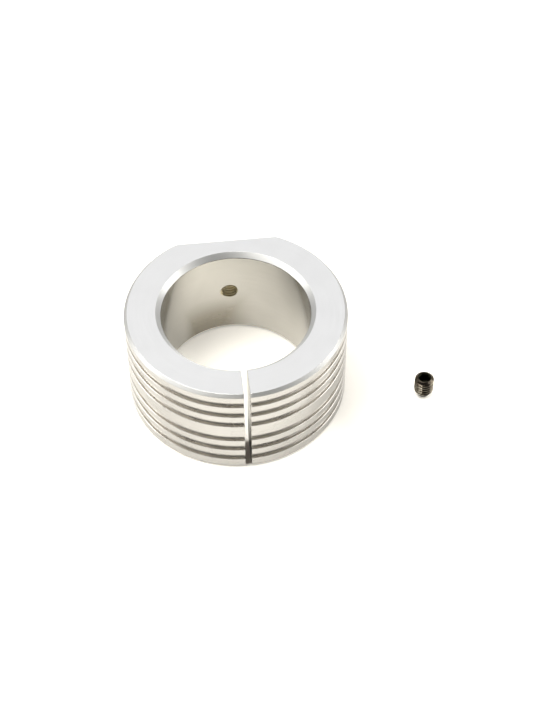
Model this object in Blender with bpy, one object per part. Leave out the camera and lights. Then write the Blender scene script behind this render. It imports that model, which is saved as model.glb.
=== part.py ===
"""A split shaft collar with its hex-socket set screw.

Metres, +Z up. The collar's bore is on the Z axis and its lower face lies on z = 0. The slit
faces -Y, and the flat with the tapped hole for the set screw faces +Y. The set screw stands on
its point beside the collar, on the same surface, as it does before it is fitted.
"""
import math

import bmesh
import bpy
from mathutils import Matrix, Vector

MM = 0.001

# Collar body
OUTER_DIAMETER = 45.0 * MM
BORE_DIAMETER = 30.2 * MM
COLLAR_HEIGHT = 22.5 * MM
OUTER_CHAMFER = 0.6 * MM
BORE_CHAMFER = 1.0 * MM
SLIT_WIDTH = 1.25 * MM
FLAT_TO_AXIS = 19.5 * MM

# Tapped hole, in the middle of the flat
HOLE_HEIGHT = 11.5 * MM
HOLE_MOUTH_DIAMETER = 4.4 * MM

# Grip grooves: two groups, the same distance above and below the tapped hole
GROOVES_IN_GROUP = 3
GROOVE_WIDTH = 1.3 * MM
GROOVE_DEPTH = 0.6 * MM
GROOVE_PITCH = 3.0 * MM
GROUP_GAP = 4.5 * MM

# M4 x 0.7 thread, ISO profile
THREAD_DIAMETER = 4.0 * MM
THREAD_PITCH = 0.7 * MM
THREAD_DEPTH = 0.613 * THREAD_PITCH
CREST_SHARE = 1 / 8
ROOT_SHARE = 1 / 4
TAP_CLEARANCE = 0.03 * MM

# Set screw, M4 x 5, hex socket
SCREW_LENGTH = 5.0 * MM
SCREW_PLACE = Vector((38.2 * MM, -7.6 * MM, 0.0))
HEAD_FACE_DIAMETER = 2.9 * MM
HEAD_CHAMFER_LENGTH = 0.55 * MM
POINT_FACE_DIAMETER = 2.5 * MM
POINT_CONE_LENGTH = 1.5 * MM
CUP_DIAMETER = 1.9 * MM
CUP_DEPTH = 0.5 * MM
SOCKET_ACROSS_FLATS = 2.0 * MM
SOCKET_DEPTH = 2.2 * MM
SOCKET_POINT_DEPTH = 0.5 * MM
SOCKET_TURN = math.radians(-74.0)

# Mesh fineness
COLLAR_SEGMENTS = 96
THREAD_SEGMENTS = 24
SMOOTH_BELOW = math.radians(25.0)
WELD_DISTANCE = 0.002 * MM

# How far a cutter runs past the surface that it cuts, and the blank past the thread's crests
OVERRUN = 1.0 * MM
BLANK_MARGIN = 0.3 * MM


def clear_scene():
    for old in list(bpy.data.objects):
        bpy.data.objects.remove(old, do_unlink=True)


def metal(name, color, roughness):
    """A Principled metal of one colour."""
    material = bpy.data.materials.new(name)
    material.use_nodes = True
    shader = material.node_tree.nodes["Principled BSDF"]
    shader.inputs["Base Color"].default_value = (*color, 1.0)
    shader.inputs["Metallic"].default_value = 1.0
    shader.inputs["Roughness"].default_value = roughness
    return material


def add_object(name, bm):
    """Turn a bmesh into an object of the scene."""
    mesh = bpy.data.meshes.new(name)
    bm.to_mesh(mesh)
    bm.free()
    obj = bpy.data.objects.new(name, mesh)
    bpy.context.scene.collection.objects.link(obj)
    return obj


def cut(obj, operation, tool):
    """Cut an object's mesh with a tool's bmesh, by a Boolean that is applied at once."""
    cutter = add_object(obj.name + "_cutter", tool)
    modifier = obj.modifiers.new(operation, "BOOLEAN")
    modifier.operation = operation
    modifier.solver = "EXACT"
    modifier.object = cutter
    depsgraph = bpy.context.evaluated_depsgraph_get()
    whole = obj.data
    obj.data = bpy.data.meshes.new_from_object(obj.evaluated_get(depsgraph))
    obj.modifiers.clear()
    bpy.data.meshes.remove(whole)
    bpy.data.objects.remove(cutter, do_unlink=True)


def finish_surface(obj, material):
    """Weld the cuts' shortest edges away, shade the round faces smooth and add the material."""
    bm = bmesh.new()
    bm.from_mesh(obj.data)
    bmesh.ops.remove_doubles(bm, verts=bm.verts, dist=WELD_DISTANCE)
    bmesh.ops.dissolve_degenerate(bm, edges=bm.edges, dist=WELD_DISTANCE)
    bm.to_mesh(obj.data)
    bm.free()
    obj.data.name = obj.name
    obj.data.materials.clear()
    obj.data.materials.append(material)
    obj.data.shade_smooth()
    obj.data.set_sharp_from_angle(angle=SMOOTH_BELOW)


def around(segments, radius, height, turn=0.0):
    """Points of one ring about Z, anticlockwise seen from above."""
    angles = [turn + math.tau * i / segments for i in range(segments)]
    return [(radius * math.cos(a), radius * math.sin(a), height) for a in angles]


def turned(outline, segments, closed=False, turn=0.0):
    """Turn an outline of (radius, height) points about Z.

    The outline runs anticlockwise: up its outer side and back down its inner side or the axis.
    """
    bm = bmesh.new()
    rings = []
    for radius, height in outline:
        if radius > 0.0:
            rings.append([bm.verts.new(p) for p in around(segments, radius, height, turn)])
        else:
            rings.append([bm.verts.new((0.0, 0.0, height))] * segments)
    if closed:
        rings.append(rings[0])
    for low, high in zip(rings, rings[1:]):
        for i in range(segments):
            j = (i + 1) % segments
            bm.faces.new(dict.fromkeys((low[i], low[j], high[j], high[i])))
    return bm


def box(low, high):
    bm = bmesh.new()
    bmesh.ops.create_cube(bm, size=1.0)
    low, high = Vector(low), Vector(high)
    size = Matrix.Diagonal(high - low).to_4x4()
    bm.transform(Matrix.Translation((low + high) / 2) @ size)
    return bm


def threaded_rod(crest_radius, start, length):
    """A closed rod along Z with one helical ridge, from start up, at least length long."""
    root_radius = crest_radius - THREAD_DEPTH
    flank = (1.0 - CREST_SHARE - ROOT_SHARE) / 2
    profile = [
        (root_radius, 0.0),
        (root_radius, ROOT_SHARE),
        (crest_radius, ROOT_SHARE + flank),
        (crest_radius, ROOT_SHARE + flank + CREST_SHARE),
    ]
    steps = (math.ceil(length / THREAD_PITCH) + 1) * THREAD_SEGMENTS
    bm = bmesh.new()
    columns = []
    for step in range(steps + 1):
        turns = step / THREAD_SEGMENTS
        angle = math.tau * turns
        column = []
        for radius, share in profile:
            height = start + THREAD_PITCH * (turns + share - 1.0)
            column.append(bm.verts.new((radius * math.cos(angle), radius * math.sin(angle), height)))
        columns.append(column)
    for column, above in zip(columns, columns[THREAD_SEGMENTS:]):
        column.append(above[0])
    wound = columns[:-THREAD_SEGMENTS]
    for here, ahead in zip(wound, wound[1:]):
        for k in range(len(profile)):
            bm.faces.new((here[k], ahead[k], ahead[k + 1], here[k + 1]))
    lower_rim = [column[0] for column in columns[:THREAD_SEGMENTS]] + wound[0][:0:-1]
    upper_rim = [column[0] for column in columns[-THREAD_SEGMENTS - 1 : -1]] + wound[-1][:0:-1]
    close_end(bm, lower_rim, start - THREAD_PITCH, upward=False)
    close_end(bm, upper_rim, columns[-1][0].co.z, upward=True)
    return bm


def close_end(bm, rim, height, upward):
    """Close one end of a rod with a fan from its rim to a point on the axis."""
    tip = bm.verts.new((0.0, 0.0, height))
    for here, ahead in zip(rim, rim[1:] + rim[:1]):
        bm.faces.new((here, ahead, tip) if upward else (ahead, here, tip))


def groove_heights():
    """Heights of the grooves' middles, from the lowest up."""
    offsets = [GROUP_GAP / 2 + GROOVE_PITCH * i for i in range(GROOVES_IN_GROUP)]
    below = [HOLE_HEIGHT - offset for offset in reversed(offsets)]
    above = [HOLE_HEIGHT + offset for offset in offsets]
    return below + above


def collar_outline():
    """The ring's cross-section as (radius, height) points."""
    outer, bore = OUTER_DIAMETER / 2, BORE_DIAMETER / 2
    points = [
        (bore + BORE_CHAMFER, 0.0),
        (outer - OUTER_CHAMFER, 0.0),
        (outer, OUTER_CHAMFER),
    ]
    for middle in groove_heights():
        low, high = middle - GROOVE_WIDTH / 2, middle + GROOVE_WIDTH / 2
        floor = outer - GROOVE_DEPTH
        points += [(outer, low), (floor, low), (floor, high), (outer, high)]
    points += [
        (outer, COLLAR_HEIGHT - OUTER_CHAMFER),
        (outer - OUTER_CHAMFER, COLLAR_HEIGHT),
        (bore + BORE_CHAMFER, COLLAR_HEIGHT),
        (bore, COLLAR_HEIGHT - BORE_CHAMFER),
        (bore, BORE_CHAMFER),
    ]
    return points


def lay_along_y(bm):
    """Lay a bmesh built along Z along the tapped hole, with its z = 0 on the bore's axis."""
    to_y = Matrix.Rotation(-math.pi / 2, 4, "X")
    bm.transform(Matrix.Translation((0.0, 0.0, HOLE_HEIGHT)) @ to_y)
    return bm


def tapped_hole_cutters():
    """The thread through the wall at the flat, and the countersink at its outer mouth."""
    bore, mouth = BORE_DIAMETER / 2, HOLE_MOUTH_DIAMETER / 2
    start = bore - OVERRUN
    thread = threaded_rod(THREAD_DIAMETER / 2 + TAP_CLEARANCE, start, FLAT_TO_AXIS + OVERRUN - start)
    countersink = turned(
        [
            (0.0, FLAT_TO_AXIS - mouth),
            (mouth + OVERRUN, FLAT_TO_AXIS + OVERRUN),
            (0.0, FLAT_TO_AXIS + OVERRUN),
        ],
        THREAD_SEGMENTS,
    )
    return lay_along_y(thread), lay_along_y(countersink)


def make_collar(material):
    """The collar: a grooved ring, opened by the slit, with the flat and its tapped hole."""
    collar = add_object("split_collar", turned(collar_outline(), COLLAR_SEGMENTS, closed=True))
    reach = OUTER_DIAMETER / 2 + OVERRUN
    below, above = -OVERRUN, COLLAR_HEIGHT + OVERRUN
    flat = box((-reach, FLAT_TO_AXIS, below), (reach, reach, above))
    slit = box((-SLIT_WIDTH / 2, -reach, below), (SLIT_WIDTH / 2, 0.0, above))
    for tool in (flat, slit, *tapped_hole_cutters()):
        cut(collar, "DIFFERENCE", tool)
    finish_surface(collar, material)


def screw_blank():
    """The turned blank that the thread is cut on, wider than the thread: point, body, head end."""
    wide = THREAD_DIAMETER / 2 + BLANK_MARGIN
    head, point = HEAD_FACE_DIAMETER / 2, POINT_FACE_DIAMETER / 2
    head_slope = HEAD_CHAMFER_LENGTH / (THREAD_DIAMETER / 2 - head)
    point_slope = POINT_CONE_LENGTH / (THREAD_DIAMETER / 2 - point)
    outline = [
        (0.0, CUP_DEPTH),
        (CUP_DIAMETER / 2, 0.0),
        (point, 0.0),
        (wide, point_slope * (wide - point)),
        (wide, SCREW_LENGTH - head_slope * (wide - head)),
        (head, SCREW_LENGTH),
        (0.0, SCREW_LENGTH),
    ]
    return turned(outline, THREAD_SEGMENTS, turn=math.pi / THREAD_SEGMENTS)


def socket_cutter():
    """A hexagonal socket with a drilled point at its bottom."""
    corner = SOCKET_ACROSS_FLATS / math.sqrt(3)
    floor = SCREW_LENGTH - SOCKET_DEPTH
    outline = [
        (0.0, floor - SOCKET_POINT_DEPTH),
        (corner, floor),
        (corner, SCREW_LENGTH + OVERRUN),
        (0.0, SCREW_LENGTH + OVERRUN),
    ]
    return turned(outline, 6, turn=SOCKET_TURN)


def make_set_screw(material):
    """The set screw: a threaded rod trimmed to the blank's ends, with the socket cut in."""
    rod = threaded_rod(THREAD_DIAMETER / 2, -OVERRUN, SCREW_LENGTH + 2 * OVERRUN)
    screw = add_object("set_screw", rod)
    cut(screw, "INTERSECT", screw_blank())
    cut(screw, "DIFFERENCE", socket_cutter())
    finish_surface(screw, material)
    screw.location = SCREW_PLACE


def main():
    clear_scene()
    make_collar(metal("satin_aluminium", (0.80, 0.78, 0.74), 0.32))
    make_set_screw(metal("black_steel", (0.055, 0.045, 0.035), 0.35))


main()
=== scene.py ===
"""The looks of a split shaft collar and its set screw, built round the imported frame.

Metres, +Z up, in the frame's own coordinates: the bore is on the Z axis, the lower face lies on
z = 0, the slit faces -Y and the flat with the tapped hole faces +Y. Both pieces are made again
here with a fine surface, and each stands for the CAD node of the same size.
"""

import math
from typing import NamedTuple

import bmesh
import bpy
from mathutils import Matrix, Vector


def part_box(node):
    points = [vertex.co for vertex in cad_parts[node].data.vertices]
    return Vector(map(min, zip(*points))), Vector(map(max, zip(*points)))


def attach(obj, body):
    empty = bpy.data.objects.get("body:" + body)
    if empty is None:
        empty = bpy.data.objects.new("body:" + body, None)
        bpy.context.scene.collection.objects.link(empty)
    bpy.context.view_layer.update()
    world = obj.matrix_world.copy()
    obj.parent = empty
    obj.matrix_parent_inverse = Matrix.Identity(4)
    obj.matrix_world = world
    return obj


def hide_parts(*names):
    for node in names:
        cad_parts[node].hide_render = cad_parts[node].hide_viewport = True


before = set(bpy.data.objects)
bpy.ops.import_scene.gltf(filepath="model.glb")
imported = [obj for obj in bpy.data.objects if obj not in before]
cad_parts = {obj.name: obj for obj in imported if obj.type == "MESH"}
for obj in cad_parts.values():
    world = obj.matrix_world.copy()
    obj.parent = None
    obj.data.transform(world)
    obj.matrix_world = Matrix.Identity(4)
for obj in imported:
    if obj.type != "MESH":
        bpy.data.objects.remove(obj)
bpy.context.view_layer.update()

MM = 0.001

# The frame's own sizes
_, collar_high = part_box("split_collar")
screw_low, screw_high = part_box("set_screw")
OUTER_RADIUS = collar_high.x
COLLAR_HEIGHT = collar_high.z
FLAT_TO_AXIS = collar_high.y
SCREW_LENGTH = screw_high.z

# Collar, as in CAD
BORE_RADIUS = 15.1 * MM
OUTER_CHAMFER = 0.6 * MM
BORE_CHAMFER = 1.0 * MM
SLIT_WIDTH = 1.25 * MM
HOLE_HEIGHT = 11.5 * MM
HOLE_MOUTH_RADIUS = 2.2 * MM
GROOVES_IN_GROUP = 3
GROOVE_WIDTH = 1.3 * MM
GROOVE_DEPTH = 0.6 * MM
GROOVE_PITCH = 3.0 * MM
GROUP_GAP = 4.5 * MM

# M4 x 0.7 thread and the set screw, as in CAD
THREAD_RADIUS = 2.0 * MM
THREAD_PITCH = 0.7 * MM
THREAD_DEPTH = 0.613 * THREAD_PITCH
TAP_CLEARANCE = 0.03 * MM
HEAD_FACE_RADIUS = 1.45 * MM
HEAD_CHAMFER_LENGTH = 0.55 * MM
POINT_FACE_RADIUS = 1.25 * MM
POINT_CONE_LENGTH = 1.5 * MM
CUP_RADIUS = 0.95 * MM
CUP_DEPTH = 0.5 * MM
CUP_WALL_AIM = 0.5 * MM
SOCKET_ACROSS_FLATS = 2.0 * MM
SOCKET_DEPTH = 2.2 * MM
SOCKET_POINT_DEPTH = 0.5 * MM
SOCKET_MOUTH_CHAMFER = 0.30 * MM
SOCKET_TURN = math.radians(-74.0)
SCREW_PLACE = Vector((screw_high.x - THREAD_RADIUS, (screw_low.y + screw_high.y) / 2, 0.0))

# The thread over one pitch: how far it lies below its crest, as a share of the thread's depth,
# and how far along the pitch
THREAD_PROFILE = (
    (0.97, 0.0),
    (1.0, 0.06),
    (1.0, 0.16),
    (0.92, 0.25),
    (0.08, 0.48),
    (0.0, 0.53),
    (0.0, 0.70),
    (0.08, 0.75),
)

# Edge breaks
CORNER_BREAK = 0.09 * MM
GROOVE_LIP = 0.20 * MM
SLIT_EDGE_BREAK = 0.07 * MM
FLAT_EDGE_BREAK = 0.15 * MM
SCREW_EDGE_BREAK = 0.05 * MM
CORNER_STEPS = 3

# Mesh fineness
COLLAR_COLUMNS = 360
THREAD_SEGMENTS = 72
SMOOTH_BELOW = math.radians(32.0)
WELD_DISTANCE = 0.001 * MM
OVERRUN = 1.0 * MM
BLANK_MARGIN = 0.3 * MM

# How closely a face's unit normal follows an axis
NEARLY_ALONG = 0.95
MOSTLY_ALONG = 0.6


# ---------------------------------------------------------------- meshes


def add_object(name, bm):
    """Turn a bmesh into an object of the scene."""
    mesh = bpy.data.meshes.new(name)
    bm.to_mesh(mesh)
    bm.free()
    obj = bpy.data.objects.new(name, mesh)
    bpy.context.scene.collection.objects.link(obj)
    return obj


def cut(obj, operation, tool):
    """Cut an object's mesh with a tool's bmesh, by a Boolean that is applied at once."""
    cutter = add_object(obj.name + "_cutter", tool)
    modifier = obj.modifiers.new(operation, "BOOLEAN")
    modifier.operation = operation
    modifier.solver = "EXACT"
    modifier.object = cutter
    depsgraph = bpy.context.evaluated_depsgraph_get()
    whole = obj.data
    obj.data = bpy.data.meshes.new_from_object(obj.evaluated_get(depsgraph))
    obj.modifiers.clear()
    bpy.data.meshes.remove(whole)
    bpy.data.objects.remove(cutter, do_unlink=True)


def soften(corners, steps):
    """Round the corners of a closed outline, given as (x, y, reach).

    Each corner's curve starts and ends at its reach from the corner.
    """
    points = [Vector(corner[:2]) for corner in corners]
    rounded = []
    for i, (corner, (_, _, reach)) in enumerate(zip(points, corners)):
        before, after = points[i - 1], points[(i + 1) % len(points)]
        start = corner + (before - corner).normalized() * reach
        end = corner + (after - corner).normalized() * reach
        for step in range(steps + 1):
            t = step / steps
            rounded.append(start * (1 - t) ** 2 + corner * 2 * t * (1 - t) + end * t**2)
    return rounded


def inset(outline, distance):
    """Move a closed anticlockwise outline of 2-D points inwards."""
    moved = []
    for before, point, after in zip(outline[-1:] + outline[:-1], outline, outline[1:] + outline[:1]):
        into, out = (point - before).normalized(), (after - point).normalized()
        normal = Vector((-into.y - out.y, into.x + out.x)).normalized()
        moved.append(point + normal * distance / max(normal.dot(Vector((-into.y, into.x))), 0.5))
    return moved


def turned(outline, segments, turn=0.0):
    """Turn an outline of (radius, height) points about Z, from the axis out, up and back to it."""
    bm = bmesh.new()
    rings = []
    for radius, height in outline:
        if radius > 0.0:
            angles = [turn + math.tau * i / segments for i in range(segments)]
            ring = [(radius * math.cos(a), radius * math.sin(a), height) for a in angles]
            rings.append([bm.verts.new(p) for p in ring])
        else:
            rings.append([bm.verts.new((0.0, 0.0, height))] * segments)
    for low, high in zip(rings, rings[1:]):
        for i in range(segments):
            j = (i + 1) % segments
            bm.faces.new(dict.fromkeys((low[i], low[j], high[j], high[i])))
    return bm


def threaded_rod(crest_radius, start, length):
    """A closed rod along Z with one helical ridge whose crest and root are rounded."""
    profile = [(crest_radius - depth * THREAD_DEPTH, share) for depth, share in THREAD_PROFILE]
    steps = (math.ceil(length / THREAD_PITCH) + 1) * THREAD_SEGMENTS
    bm = bmesh.new()
    columns = []
    for step in range(steps + 1):
        turns = step / THREAD_SEGMENTS
        angle = math.tau * turns
        column = []
        for radius, share in profile:
            height = start + THREAD_PITCH * (turns + share - 1.0)
            column.append(bm.verts.new((radius * math.cos(angle), radius * math.sin(angle), height)))
        columns.append(column)
    for column, above in zip(columns, columns[THREAD_SEGMENTS:]):
        column.append(above[0])
    wound = columns[:-THREAD_SEGMENTS]
    for here, ahead in zip(wound, wound[1:]):
        for k in range(len(profile)):
            bm.faces.new((here[k], ahead[k], ahead[k + 1], here[k + 1]))
    lower_rim = [column[0] for column in columns[:THREAD_SEGMENTS]] + wound[0][:0:-1]
    upper_rim = [column[0] for column in columns[-THREAD_SEGMENTS - 1 : -1]] + wound[-1][:0:-1]
    close_end(bm, lower_rim, start - THREAD_PITCH, upward=False)
    close_end(bm, upper_rim, columns[-1][0].co.z, upward=True)
    return bm


def close_end(bm, rim, height, upward):
    """Close one end of a rod with a fan from its rim to a point on the axis."""
    tip = bm.verts.new((0.0, 0.0, height))
    for here, ahead in zip(rim, rim[1:] + rim[:1]):
        bm.faces.new((here, ahead, tip) if upward else (ahead, here, tip))


# ---------------------------------------------------------------- collar


def groove_middles():
    """Heights of the grooves' middles, from the lowest up."""
    offsets = [GROUP_GAP / 2 + GROOVE_PITCH * i for i in range(GROOVES_IN_GROUP)]
    below = [HOLE_HEIGHT - offset for offset in reversed(offsets)]
    above = [HOLE_HEIGHT + offset for offset in offsets]
    return below + above


def collar_outline():
    """The ring's cross-section as (radius, height, corner break) points, anticlockwise."""
    floor = OUTER_RADIUS - GROOVE_DEPTH
    small, lip = CORNER_BREAK, GROOVE_LIP
    points = [
        (BORE_RADIUS + BORE_CHAMFER, 0.0, small),
        (OUTER_RADIUS - OUTER_CHAMFER, 0.0, small),
        (OUTER_RADIUS, OUTER_CHAMFER, small),
    ]
    for middle in groove_middles():
        low, high = middle - GROOVE_WIDTH / 2, middle + GROOVE_WIDTH / 2
        points += [(OUTER_RADIUS, low, lip), (floor, low, small)]
        points += [(floor, high, small), (OUTER_RADIUS, high, lip)]
    points += [
        (OUTER_RADIUS, COLLAR_HEIGHT - OUTER_CHAMFER, small),
        (OUTER_RADIUS - OUTER_CHAMFER, COLLAR_HEIGHT, small),
        (BORE_RADIUS + BORE_CHAMFER, COLLAR_HEIGHT, small),
        (BORE_RADIUS, COLLAR_HEIGHT - BORE_CHAMFER, small),
        (BORE_RADIUS, BORE_CHAMFER, small),
    ]
    return points


def split_ring():
    """The grooved ring, swept from one wall of the slit round to the other, edges broken."""
    outline = soften(collar_outline(), CORNER_STEPS)
    walls = []
    for step in range(CORNER_STEPS + 1):
        lift = math.pi / 2 * step / CORNER_STEPS
        gap = SLIT_WIDTH / 2 + SLIT_EDGE_BREAK * (1 - math.cos(lift))
        walls.append((gap, inset(outline, SLIT_EDGE_BREAK * (1 - math.sin(lift)))))
    last_gap, _ = walls[-1]

    bm = bmesh.new()

    def section(points, angle_at):
        spots = [(r * math.cos(angle_at(r)), r * math.sin(angle_at(r)), z) for r, z in points]
        return [bm.verts.new(spot) for spot in spots]

    def from_slit(gap, share):
        def angle(radius):
            half = math.asin(gap / radius)
            return half + share * (math.tau - 2 * half) - math.pi / 2
        return angle

    sections = [section(points, from_slit(gap, 0.0)) for gap, points in walls]
    for column in range(1, COLLAR_COLUMNS):
        sections.append(section(outline, from_slit(last_gap, column / COLLAR_COLUMNS)))
    sections += [section(points, from_slit(gap, 1.0)) for gap, points in reversed(walls)]
    for here, ahead in zip(sections, sections[1:]):
        for p in range(len(outline)):
            q = (p + 1) % len(outline)
            bm.faces.new((here[p], ahead[p], ahead[q], here[q]))
    bm.faces.new(sections[0])
    bm.faces.new(sections[-1][::-1])
    return bm


def flat_cutter():
    """What the mill takes off for the flat, with the flat's upper and lower edges broken."""
    edge, over = FLAT_EDGE_BREAK, OVERRUN
    outline = [
        (FLAT_TO_AXIS, edge),
        (FLAT_TO_AXIS - edge - over, -over),
        (OUTER_RADIUS + over, -over),
        (OUTER_RADIUS + over, COLLAR_HEIGHT + over),
        (FLAT_TO_AXIS - edge - over, COLLAR_HEIGHT + over),
        (FLAT_TO_AXIS, COLLAR_HEIGHT - edge),
    ]
    bm = bmesh.new()
    ends = []
    for x in (-OUTER_RADIUS - over, OUTER_RADIUS + over):
        ends.append([bm.verts.new((x, y, z)) for y, z in outline])
    near, far = ends
    for p in range(len(outline)):
        q = (p + 1) % len(outline)
        bm.faces.new((near[p], far[p], far[q], near[q]))
    bm.faces.new(near)
    bm.faces.new(far[::-1])
    bmesh.ops.recalc_face_normals(bm, faces=bm.faces)
    return bm


def tapped_hole_cutters():
    """The thread through the wall at the flat, and the countersink at its outer mouth."""
    start = BORE_RADIUS - OVERRUN
    thread = threaded_rod(THREAD_RADIUS + TAP_CLEARANCE, start, FLAT_TO_AXIS + OVERRUN - start)
    countersink = turned(
        [
            (0.0, FLAT_TO_AXIS - HOLE_MOUTH_RADIUS),
            (HOLE_MOUTH_RADIUS + OVERRUN, FLAT_TO_AXIS + OVERRUN),
            (0.0, FLAT_TO_AXIS + OVERRUN),
        ],
        THREAD_SEGMENTS,
    )
    along_y = Matrix.Translation((0.0, 0.0, HOLE_HEIGHT)) @ Matrix.Rotation(-math.pi / 2, 4, "X")
    for cutter in (thread, countersink):
        cutter.transform(along_y)
    return thread, countersink


def collar_region(centre, normal):
    """Which surface of the collar a face belongs to, from its middle and its normal."""
    radius = math.hypot(centre.x, centre.y)
    from_hole = math.hypot(centre.x, centre.z - HOLE_HEIGHT)
    on_flat = centre.y > FLAT_TO_AXIS - FLAT_EDGE_BREAK and normal.y > MOSTLY_ALONG
    if abs(centre.x) < SLIT_WIDTH and centre.y < 0.0 and abs(normal.x) > MOSTLY_ALONG:
        return "slit"
    if from_hole < HOLE_MOUTH_RADIUS + CORNER_BREAK and centre.y > BORE_RADIUS - CORNER_BREAK:
        if not on_flat and abs(normal.y) < NEARLY_ALONG:
            return "thread"
    if on_flat and abs(centre.y - FLAT_TO_AXIS) < FLAT_EDGE_BREAK:
        return "flat"
    if abs(normal.z) > NEARLY_ALONG and min(centre.z, COLLAR_HEIGHT - centre.z) < CORNER_BREAK:
        return "face"
    if radius < BORE_RADIUS + CORNER_BREAK:
        return "bore"
    if radius < BORE_RADIUS + BORE_CHAMFER + CORNER_BREAK:
        return "bore_chamfer"
    if min(centre.z, COLLAR_HEIGHT - centre.z) < OUTER_CHAMFER + CORNER_BREAK / 2:
        return "outer_chamfer"
    if radius < OUTER_RADIUS - CORNER_BREAK / 2:
        return "groove"
    return "land"


# ---------------------------------------------------------------- set screw


def screw_blank():
    """The turned blank that the thread is cut on, wider than the thread.

    The outline's last corner only sets which way the cup's rounded rim leans, and isn't turned.
    """
    wide = THREAD_RADIUS + BLANK_MARGIN
    head_slope = HEAD_CHAMFER_LENGTH / (THREAD_RADIUS - HEAD_FACE_RADIUS)
    point_slope = POINT_CONE_LENGTH / (THREAD_RADIUS - POINT_FACE_RADIUS)
    corners = [
        (CUP_RADIUS, 0.0),
        (POINT_FACE_RADIUS, 0.0),
        (wide, point_slope * (wide - POINT_FACE_RADIUS)),
        (wide, SCREW_LENGTH - head_slope * (wide - HEAD_FACE_RADIUS)),
        (HEAD_FACE_RADIUS, SCREW_LENGTH),
        (CUP_WALL_AIM, SCREW_LENGTH),
    ]
    rounded = soften([(*corner, SCREW_EDGE_BREAK) for corner in corners], CORNER_STEPS)
    side = [tuple(point) for point in rounded[: -CORNER_STEPS - 1]]
    outline = [(0.0, CUP_DEPTH), *side, (0.0, SCREW_LENGTH)]
    return turned(outline, THREAD_SEGMENTS, turn=math.pi / THREAD_SEGMENTS)


def socket_cutters():
    """A hexagonal socket with a drilled point at its bottom, and the chamfer at its mouth."""
    corner = SOCKET_ACROSS_FLATS / math.sqrt(3)
    floor = SCREW_LENGTH - SOCKET_DEPTH
    hexagon = [
        (0.0, floor - SOCKET_POINT_DEPTH),
        (corner, floor),
        (corner, SCREW_LENGTH + OVERRUN),
        (0.0, SCREW_LENGTH + OVERRUN),
    ]
    mouth = corner + SOCKET_MOUTH_CHAMFER / 2
    cone = [
        (0.0, SCREW_LENGTH - mouth),
        (mouth + OVERRUN, SCREW_LENGTH + OVERRUN),
        (0.0, SCREW_LENGTH + OVERRUN),
    ]
    return turned(hexagon, 6, turn=SOCKET_TURN), turned(cone, THREAD_SEGMENTS)


# ---------------------------------------------------------------- materials


def put(tree, kind, inputs=None, **settings):
    """Add a node, set its properties, and feed its inputs with values or other nodes' sockets."""
    node = tree.nodes.new(kind)
    for name, value in settings.items():
        setattr(node, name, value)
    for key, value in (inputs or {}).items():
        if isinstance(value, bpy.types.NodeSocket):
            tree.links.new(value, node.inputs[key])
        else:
            node.inputs[key].default_value = value
    return node


def calc(tree, operation, *values, clamp=False):
    """A Math node's result."""
    inputs = dict(enumerate(values))
    return put(tree, "ShaderNodeMath", inputs, operation=operation, use_clamp=clamp).outputs[0]


def length(tree, x, y):
    """How long the vector of two values is."""
    squares = [calc(tree, "POWER", value, 2.0) for value in (x, y)]
    return calc(tree, "SQRT", calc(tree, "ADD", *squares))


def noise(tree, vector, scale, detail=2.0, roughness=0.5):
    """A Noise texture's value, from 0 to 1."""
    inputs = {"Vector": vector, "Scale": scale, "Detail": detail, "Roughness": roughness}
    return put(tree, "ShaderNodeTexNoise", inputs).outputs["Fac"]


def ramp(tree, value, low, high, to_low=0.0, to_high=1.0):
    """A value mapped smoothly from one range to another, and held at its ends."""
    inputs = {"Value": value, "From Min": low, "From Max": high, "To Min": to_low, "To Max": to_high}
    return put(tree, "ShaderNodeMapRange", inputs, interpolation_type="SMOOTHSTEP").outputs["Result"]


def blend_colors(tree, share, first, second):
    """One colour turning into another."""
    node = put(tree, "ShaderNodeMix", {"Factor": share}, data_type="RGBA")
    for socket, color in ((node.inputs[6], first), (node.inputs[7], second)):
        if isinstance(color, bpy.types.NodeSocket):
            tree.links.new(color, socket)
        else:
            socket.default_value = (*color, 1.0)
    return node.outputs[2]


def stretched(tree, position, scales):
    """Coordinates stretched along each axis."""
    return put(tree, "ShaderNodeVectorMath", {0: position, 1: scales}, operation="MULTIPLY").outputs[0]


class Surface:
    """A material being built: its node tree, its shader, and its coordinates in millimetres."""

    def __init__(self, name):
        self.material = bpy.data.materials.new(name)
        self.material.use_nodes = True
        self.tree = self.material.node_tree
        self.shader = self.tree.nodes["Principled BSDF"]
        place = put(self.tree, "ShaderNodeTexCoord").outputs["Object"]
        self.mm = stretched(self.tree, place, (1 / MM,) * 3)
        split = put(self.tree, "ShaderNodeSeparateXYZ", {0: self.mm})
        self.x, self.y, self.z = split.outputs
        self.radius = length(self.tree, self.x, self.y)

    def vector(self, x, y, z):
        return put(self.tree, "ShaderNodeCombineXYZ", {0: x, 1: y, 2: z}).outputs[0]

    def scaled(self, value, factor):
        return calc(self.tree, "MULTIPLY", value, factor)

    def finish(self, color, roughness, height=None, depth=0.0, **values):
        """Connect colour and roughness, add bumps of a depth in metres, and set fixed values."""
        tree, shader = self.tree, self.shader
        tree.links.new(color, shader.inputs["Base Color"])
        tree.links.new(roughness, shader.inputs["Roughness"])
        if height is not None:
            bump = put(tree, "ShaderNodeBump", {"Height": height, "Distance": depth})
            tree.links.new(bump.outputs[0], shader.inputs["Normal"])
        for name, value in values.items():
            shader.inputs[name].default_value = value
        return self.material


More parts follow.
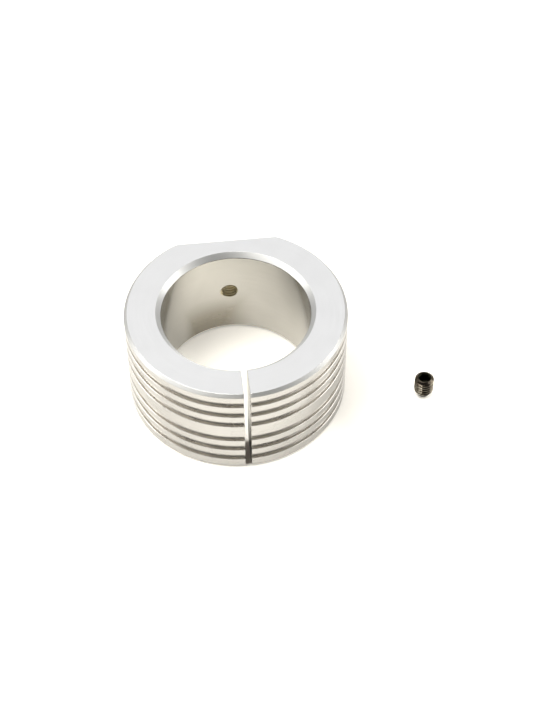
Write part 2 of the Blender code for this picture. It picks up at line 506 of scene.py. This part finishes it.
# How fast the tool marks change per millimetre, along them and across them
MARKS_SLOW = 0.12
MARKS_FAST = 7.0
MARKS_STRETCH = {
    "turns": (MARKS_SLOW, MARKS_SLOW, MARKS_FAST),
    "mill": (2 * MARKS_SLOW, MARKS_FAST, 0.7 * MARKS_FAST),
    "saw": (MARKS_FAST, 4 * MARKS_SLOW, 0.5 * MARKS_FAST),
}
SMUDGES_PER_MM = 0.22
GRAIN_PER_MM = 14.0
MARKS_SHARE = 0.55
GRAIN_SHARE = 0.25
# The painted shade's warmer tint, and the roughness it adds, scaled by how dark it is
PAINTED_SHADE_WARMTH = (1.0, 0.95, 0.86)
PAINTED_SHADE_ROUGHNESS = 0.2


class PaintedShade(NamedTuple):
    """Painted shade at a surface's lower end, and the ranges in millimetres over which it fades.

    It fades upwards over heights and, where they are given, along X over left and right.
    """

    darkest: float
    heights: tuple
    left: tuple = None
    right: tuple = None

    def outside(self, surface):
        """A value of 0 inside the painted shade and 1 outside it."""
        tree = surface.tree
        unshaded = ramp(tree, surface.z, *self.heights)
        if self.left:
            unshaded = calc(tree, "MAXIMUM", unshaded, ramp(tree, surface.x, *self.left, 1.0, 0.0))
        if self.right:
            unshaded = calc(tree, "MAXIMUM", unshaded, ramp(tree, surface.x, *self.right))
        return unshaded


def tool_marks(surface, run):
    """Fine lines that run in rings on a face, in turns about Z, or straight as a mill or saw goes."""
    if run == "rings":
        across = surface.scaled(surface.radius, MARKS_FAST)
        along = [surface.scaled(place, MARKS_SLOW) for place in (surface.x, surface.y)]
        marks_at = surface.vector(across, *along)
    else:
        marks_at = stretched(surface.tree, surface.mm, MARKS_STRETCH[run])
    return noise(surface.tree, marks_at, 1.0, detail=4.0, roughness=0.65)


def aluminium(
    name, marks, *, color, darker, roughness, spread, depth, anisotropy=0.0, edge_tint=1.0, painted_shade=None
):
    """Machined aluminium between two tints, with tool marks of a depth in metres, and painted shade if
    one is given.

    spread is how much the roughness varies. The anisotropy draws highlights out along Z, and an
    edge_tint below 1 weakens what is reflected at a grazing angle.
    """
    surface = Surface(name)
    tree = surface.tree
    lines = tool_marks(surface, marks)
    smudges = noise(tree, surface.mm, SMUDGES_PER_MM, detail=3.0)
    grain = noise(tree, surface.mm, GRAIN_PER_MM, detail=2.0)
    mixed = calc(tree, "MULTIPLY_ADD", lines, MARKS_SHARE, surface.scaled(smudges, 1 - MARKS_SHARE))
    tint = blend_colors(tree, ramp(tree, mixed, 0.3, 0.7), darker, color)
    rough = calc(tree, "MULTIPLY_ADD", mixed, spread, roughness - spread / 2)
    # Painted shade: darker, warmer and rougher where the shade lies
    if painted_shade:
        unshaded = painted_shade.outside(surface)
        shade_tint = tuple(c * painted_shade.darkest * warmth for c, warmth in zip(darker, PAINTED_SHADE_WARMTH))
        tint = blend_colors(tree, unshaded, shade_tint, tint)
        rougher = PAINTED_SHADE_ROUGHNESS * (1 - painted_shade.darkest)
        rough = calc(tree, "MULTIPLY_ADD", unshaded, -rougher, calc(tree, "ADD", rough, rougher))
    height = calc(tree, "MULTIPLY_ADD", grain, GRAIN_SHARE, lines)
    if anisotropy:
        tangent = put(tree, "ShaderNodeTangent", direction_type="RADIAL", axis="Z")
        tree.links.new(tangent.outputs[0], surface.shader.inputs["Tangent"])
    values = {
        "Metallic": 1.0,
        "Anisotropic": anisotropy,
        "Anisotropic Rotation": 0.25,
        "Specular Tint": (edge_tint, edge_tint, edge_tint, 1.0),
    }
    return surface.finish(tint, rough, height, depth, **values)


def collar_surfaces():
    """The collar's materials, by the region that wears them."""
    return {
        "face": aluminium(
            "turned_face", "rings", color=(0.65, 0.65, 0.645), darker=(0.62, 0.62, 0.615),
            roughness=0.24, spread=0.06, depth=0.0006 * MM,
        ),
        "land": aluminium(
            "turned_land", "turns", color=(0.43, 0.423, 0.411), darker=(0.387, 0.381, 0.369),
            roughness=0.28, spread=0.10, depth=0.0008 * MM, anisotropy=0.15, edge_tint=0.86,
        ),
        "outer_chamfer": aluminium(
            "outer_chamfer", "turns", color=(0.40, 0.40, 0.39), darker=(0.36, 0.36, 0.35),
            roughness=0.54, spread=0.06, depth=0.0005 * MM, anisotropy=0.85,
        ),
        "bore_chamfer": aluminium(
            "bore_chamfer", "turns", color=(0.50, 0.50, 0.485), darker=(0.46, 0.46, 0.445),
            roughness=0.52, spread=0.06, depth=0.0005 * MM, anisotropy=0.85,
        ),
        "groove": aluminium(
            "groove", "turns", color=(0.53, 0.51, 0.474), darker=(0.467, 0.448, 0.417),
            roughness=0.28, spread=0.12, depth=0.0006 * MM,
        ),
        "bore": aluminium(
            "turned_bore", "turns", color=(0.525, 0.515, 0.485), darker=(0.47, 0.46, 0.43),
            roughness=0.22, spread=0.10, depth=0.0008 * MM, anisotropy=0.6, edge_tint=0.88,
            # Painted shade low on the bore: full below 3 mm and between X = -7.5 and -2 mm, fading out
            # beyond
            painted_shade=PaintedShade(0.70, heights=(3.0, 12.0), left=(-10.5, -7.5), right=(-2.0, 5.0)),
        ),
        "flat": aluminium(
            "milled_flat", "mill", color=(0.42, 0.415, 0.405), darker=(0.345, 0.34, 0.33),
            roughness=0.30, spread=0.12, depth=0.0008 * MM,
        ),
        # Painted shade in the slit: its walls are darker than the other faces, and much darker towards
        # the bottom
        "slit": aluminium(
            "sawn_slit", "saw", color=(0.34, 0.32, 0.28), darker=(0.26, 0.24, 0.21),
            roughness=0.22, spread=0.08, depth=0.001 * MM,
            painted_shade=PaintedShade(0.28, heights=(4.0, 14.0)),
        ),
        "thread": aluminium(
            "tapped_thread", "turns", color=(0.55, 0.49, 0.34), darker=(0.44, 0.39, 0.26),
            roughness=0.30, spread=0.10, depth=0.001 * MM,
        ),
    }


OXIDE_TINTS = (0.030, 0.022, 0.012), (0.056, 0.044, 0.029)
WORN_TINT = (0.21, 0.195, 0.155)
WORN_SHARE = 0.8
# Painted shade: near black in the socket and at the point's lower end
SOCKET_SHADE_TINT = (0.012, 0.012, 0.008)
POINT_SHADE_TINT = (0.012, 0.009, 0.006)
# Oil on the screw, as a share of a full clear film
OIL = 0.45
# Where the crests, the socket and the point begin and end, in millimetres
CREST_RADII = (1.8, 2.0)
SOCKET_RADII = (1.25, 1.45)
SOCKET_HEIGHTS = (1.5, 2.5)
POINT_HEIGHTS = (0.5, 1.4)


def black_oxide(name):
    """Oiled black oxide on steel, browner on worn crests, with a dry socket painted near black as
    shade.

    The point's lower end is painted near black as shade too, and is dry and not metallic.
    """
    surface = Surface(name)
    tree = surface.tree
    patches = noise(tree, surface.mm, 1.1, detail=4.0)
    grain = noise(tree, surface.mm, 22.0, detail=2.0)
    on_crest = ramp(tree, surface.radius, *CREST_RADII)
    worn = calc(tree, "MULTIPLY", on_crest, ramp(tree, patches, 0.35, 0.65), clamp=True)
    within = ramp(tree, surface.radius, *SOCKET_RADII, 1.0, 0.0)
    in_socket = calc(tree, "MULTIPLY", within, ramp(tree, surface.z, *SOCKET_HEIGHTS))
    above_point = ramp(tree, surface.z, *POINT_HEIGHTS)

    tint = blend_colors(tree, patches, *OXIDE_TINTS)
    tint = blend_colors(tree, surface.scaled(worn, WORN_SHARE), tint, WORN_TINT)
    # Painted shade: the socket and the point's lower end go near black
    tint = blend_colors(tree, in_socket, tint, SOCKET_SHADE_TINT)
    tint = blend_colors(tree, above_point, POINT_SHADE_TINT, tint)
    rough = calc(tree, "MULTIPLY_ADD", patches, 0.12, 0.10)
    rough = calc(tree, "MULTIPLY_ADD", in_socket, 0.25, rough)
    # No oil in the socket or at the point, and no metal at the point, so the painted shade stays dark
    open_faces = calc(tree, "SUBTRACT", 1.0, in_socket)
    oiled = calc(tree, "MULTIPLY", surface.scaled(open_faces, OIL), above_point)
    tree.links.new(oiled, surface.shader.inputs["Coat Weight"])
    tree.links.new(above_point, surface.shader.inputs["Metallic"])
    values = {
        "Coat Roughness": 0.10,
        "Specular IOR Level": 0.1,
        "Specular Tint": (0.35, 0.32, 0.27, 1.0),
    }
    return surface.finish(tint, rough, grain, 0.002 * MM, **values)


# ---------------------------------------------------------------- pieces


def shade_smooth(obj):
    """Weld the cuts' shortest edges away and shade the round faces smooth."""
    bm = bmesh.new()
    bm.from_mesh(obj.data)
    bmesh.ops.remove_doubles(bm, verts=bm.verts, dist=WELD_DISTANCE)
    bmesh.ops.dissolve_degenerate(bm, edges=bm.edges, dist=WELD_DISTANCE)
    bm.to_mesh(obj.data)
    bm.free()
    obj.data.name = obj.name
    obj.data.shade_smooth()
    obj.data.set_sharp_from_angle(angle=SMOOTH_BELOW)
    keep = obj.modifiers.new("flat_faces_stay_flat", "WEIGHTED_NORMAL")
    keep.keep_sharp = True


def make_collar():
    collar = add_object("collar_ring", split_ring())
    for tool in (flat_cutter(), *tapped_hole_cutters()):
        cut(collar, "DIFFERENCE", tool)
    shade_smooth(collar)
    surfaces = collar_surfaces()
    collar.data.materials.clear()
    for material in surfaces.values():
        collar.data.materials.append(material)
    order = list(surfaces)
    for face in collar.data.polygons:
        face.material_index = order.index(collar_region(face.center, face.normal))
    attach(collar, "collar")
    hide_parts("split_collar")
    return collar


def make_screw():
    rod = threaded_rod(THREAD_RADIUS, -OVERRUN, SCREW_LENGTH + 2 * OVERRUN)
    screw = add_object("socket_set_screw", rod)
    cut(screw, "INTERSECT", screw_blank())
    for tool in socket_cutters():
        cut(screw, "DIFFERENCE", tool)
    shade_smooth(screw)
    screw.location = SCREW_PLACE
    screw.data.materials.clear()
    screw.data.materials.append(black_oxide("black_oxide"))
    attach(screw, "screw")
    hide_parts("set_screw")
    return screw


# ---------------------------------------------------------------- studio

FLOOR_SIZE = 6.0
FLOOR_DROP = 0.02 * MM
FLOOR_TINTS = (0.86, 0.83, 0.76), (0.88, 0.85, 0.78)
FLOOR_GLOW = 0.25
FLOOR_GLOW_COLOR = (1.0, 0.97, 0.90, 1.0)

# Painted shade on the strip of floor that shows through the slit: its tint, and in millimetres half
# its width and how far it reaches from the axis, each with the range over which it fades
STRIP_SHADE_TINT = (0.56, 0.50, 0.42)
STRIP_SIDE = (SLIT_WIDTH / MM / 2, SLIT_WIDTH / MM / 2 + 0.12)
STRIP_BACK = (BORE_RADIUS / MM, BORE_RADIUS / MM + 1.5)
STRIP_FRONT = (OUTER_RADIUS / MM - 1.0, OUTER_RADIUS / MM - 0.3)

# The soft shade on the floor at the collar's right, in millimetres: an oval round a middle, longer
# along Y than along X, as bright as this share of the floor inside the first distance and fading
# out at the second
SHADE_MIDDLE_X = 24.0
SHADE_MIDDLE_Y = -4.0
SHADE_X_TO_Y = 0.45
SHADE_DISTANCES = (4.0, 12.0)
SHADE_SHARE = 0.76

CAMERA_AZIMUTH = math.radians(-6.3)
CAMERA_ELEVATION = math.radians(49.8)
CAMERA_ROLL = math.radians(-0.25)
CAMERA_DISTANCE = 342.0 * MM
CAMERA_TARGET = Vector((6.77 * MM, -0.75 * MM, 6.78 * MM))
FOCAL_LENGTH = 82.4
SENSOR_SIZE = 36.0

# The tent is darker round this direction: its angles in degrees, and how far from it the dark
# core ends and the full brightness starts
TENT_STRENGTH = 1.25
TENT_COLOR = (0.99, 0.99, 1.0, 1.0)
OPENING_STRENGTH = 0.20
OPENING_AZIMUTH = -13.0
OPENING_ELEVATION = 48.0
OPENING_CORE = 20.0
OPENING_REACH = 80.0


class Softbox(NamedTuple):
    """A rectangular lamp that faces the object: degrees, metres, and its surface's radiance."""

    name: str
    azimuth: float
    elevation: float
    width: float
    height: float
    radiance: float


SOFTBOX_DISTANCE = 1.0
SOFTBOX_COLOR = (1.0, 0.99, 0.97)
SOFTBOXES = (
    Softbox("top_softbox", -102.0, 76.0, 0.62, 0.62, 5.8),
    Softbox("left_softbox", -99.0, 42.0, 0.60, 1.10, 4.6),
    Softbox("front_left_softbox", -50.0, 61.0, 0.13, 0.13, 18.0),
    Softbox("right_edge_softbox", 106.0, 44.0, 0.14, 0.30, 19.0),
    Softbox("right_softbox", 90.0, 33.0, 0.50, 0.80, 3.6),
    Softbox("front_right_softbox", 54.0, 32.0, 0.16, 0.16, 4.5),
)


def direction(azimuth, elevation):
    """From the object towards a camera or a lamp. Azimuth 0 is -Y, and 90 degrees is +X."""
    flat = math.cos(elevation)
    return Vector((math.sin(azimuth) * flat, -math.cos(azimuth) * flat, math.sin(elevation)))


def make_camera():
    """The camera, and plain colours without a film curve."""
    data = bpy.data.cameras.new("camera")
    data.lens = FOCAL_LENGTH
    data.sensor_width = SENSOR_SIZE
    data.clip_start = 10 * MM
    data.clip_end = 10.0
    camera = bpy.data.objects.new("camera", data)
    back = direction(CAMERA_AZIMUTH, CAMERA_ELEVATION)
    aim = (-back).to_track_quat("-Z", "Y").to_matrix().to_4x4()
    place = Matrix.Translation(CAMERA_TARGET + back * CAMERA_DISTANCE)
    camera.matrix_world = place @ aim @ Matrix.Rotation(CAMERA_ROLL, 4, "Z")
    bpy.context.scene.collection.objects.link(camera)
    bpy.context.scene.camera = camera
    bpy.context.scene.view_settings.view_transform = "Standard"


def pale_floor(name):
    """A pale floor with a faint glow, a strip of shade under the slit and a soft one at the right."""
    surface = Surface(name)
    tree = surface.tree
    patches = noise(tree, surface.mm, 0.02, detail=2.0)
    rough = calc(tree, "MULTIPLY_ADD", patches, 0.1, 0.75)

    from_slit = calc(tree, "ABSOLUTE", surface.x)
    forwards = surface.scaled(surface.y, -1.0)
    beside = ramp(tree, from_slit, *STRIP_SIDE)
    behind = ramp(tree, forwards, *STRIP_BACK, 1.0, 0.0)
    before = ramp(tree, forwards, *STRIP_FRONT)
    off_strip = calc(tree, "MAXIMUM", calc(tree, "MAXIMUM", beside, behind), before)

    across = calc(tree, "SUBTRACT", surface.x, SHADE_MIDDLE_X)
    along = surface.scaled(calc(tree, "SUBTRACT", surface.y, SHADE_MIDDLE_Y), SHADE_X_TO_Y)
    lit = ramp(tree, length(tree, across, along), *SHADE_DISTANCES, SHADE_SHARE, 1.0)

    # Painted shade: the strip under the slit gets a darker tint and no glow, and the soft shade at the
    # right dims tint and glow
    tint = blend_colors(tree, off_strip, STRIP_SHADE_TINT, blend_colors(tree, patches, *FLOOR_TINTS))
    tint = put(tree, "ShaderNodeVectorMath", {0: tint, 3: lit}, operation="SCALE").outputs[0]
    glow = calc(tree, "MULTIPLY", surface.scaled(off_strip, FLOOR_GLOW), lit)
    tree.links.new(glow, surface.shader.inputs["Emission Strength"])
    return surface.finish(tint, rough, **{"Emission Color": FLOOR_GLOW_COLOR})


def make_floor():
    bm = bmesh.new()
    bmesh.ops.create_grid(bm, x_segments=2, y_segments=2, size=FLOOR_SIZE / 2)
    floor = add_object("floor", bm)
    floor.location.z = -FLOOR_DROP
    floor.data.materials.append(pale_floor("pale_floor"))


def add_softbox(box):
    data = bpy.data.lights.new(box.name, "AREA")
    data.shape = "RECTANGLE"
    data.size, data.size_y = box.width, box.height
    data.energy = box.radiance * math.pi * box.width * box.height
    data.color = SOFTBOX_COLOR
    lamp = bpy.data.objects.new(box.name, data)
    away = direction(math.radians(box.azimuth), math.radians(box.elevation))
    lamp.location = away * SOFTBOX_DISTANCE
    lamp.rotation_mode = "QUATERNION"
    lamp.rotation_quaternion = (-away).to_track_quat("-Z", "Y")
    bpy.context.scene.collection.objects.link(lamp)


def light_studio():
    """A white light tent, open and darker on the camera's side, with softboxes round the object."""
    world = bpy.data.worlds.new("studio")
    world.use_nodes = True
    tree = world.node_tree
    way = put(tree, "ShaderNodeTexCoord").outputs["Generated"]
    opening = direction(math.radians(OPENING_AZIMUTH), math.radians(OPENING_ELEVATION))
    nearness = put(tree, "ShaderNodeVectorMath", {0: way, 1: opening}, operation="DOT_PRODUCT")
    apart = calc(tree, "ARCCOSINE", nearness.outputs["Value"])
    core, reach = math.radians(OPENING_CORE), math.radians(OPENING_REACH)
    strength = ramp(tree, apart, core, reach, OPENING_STRENGTH, TENT_STRENGTH)
    background = tree.nodes["Background"]
    background.inputs["Color"].default_value = TENT_COLOR
    tree.links.new(strength, background.inputs["Strength"])
    bpy.context.scene.world = world
    for box in SOFTBOXES:
        add_softbox(box)


make_camera()
make_floor()
light_studio()
make_collar()
make_screw()
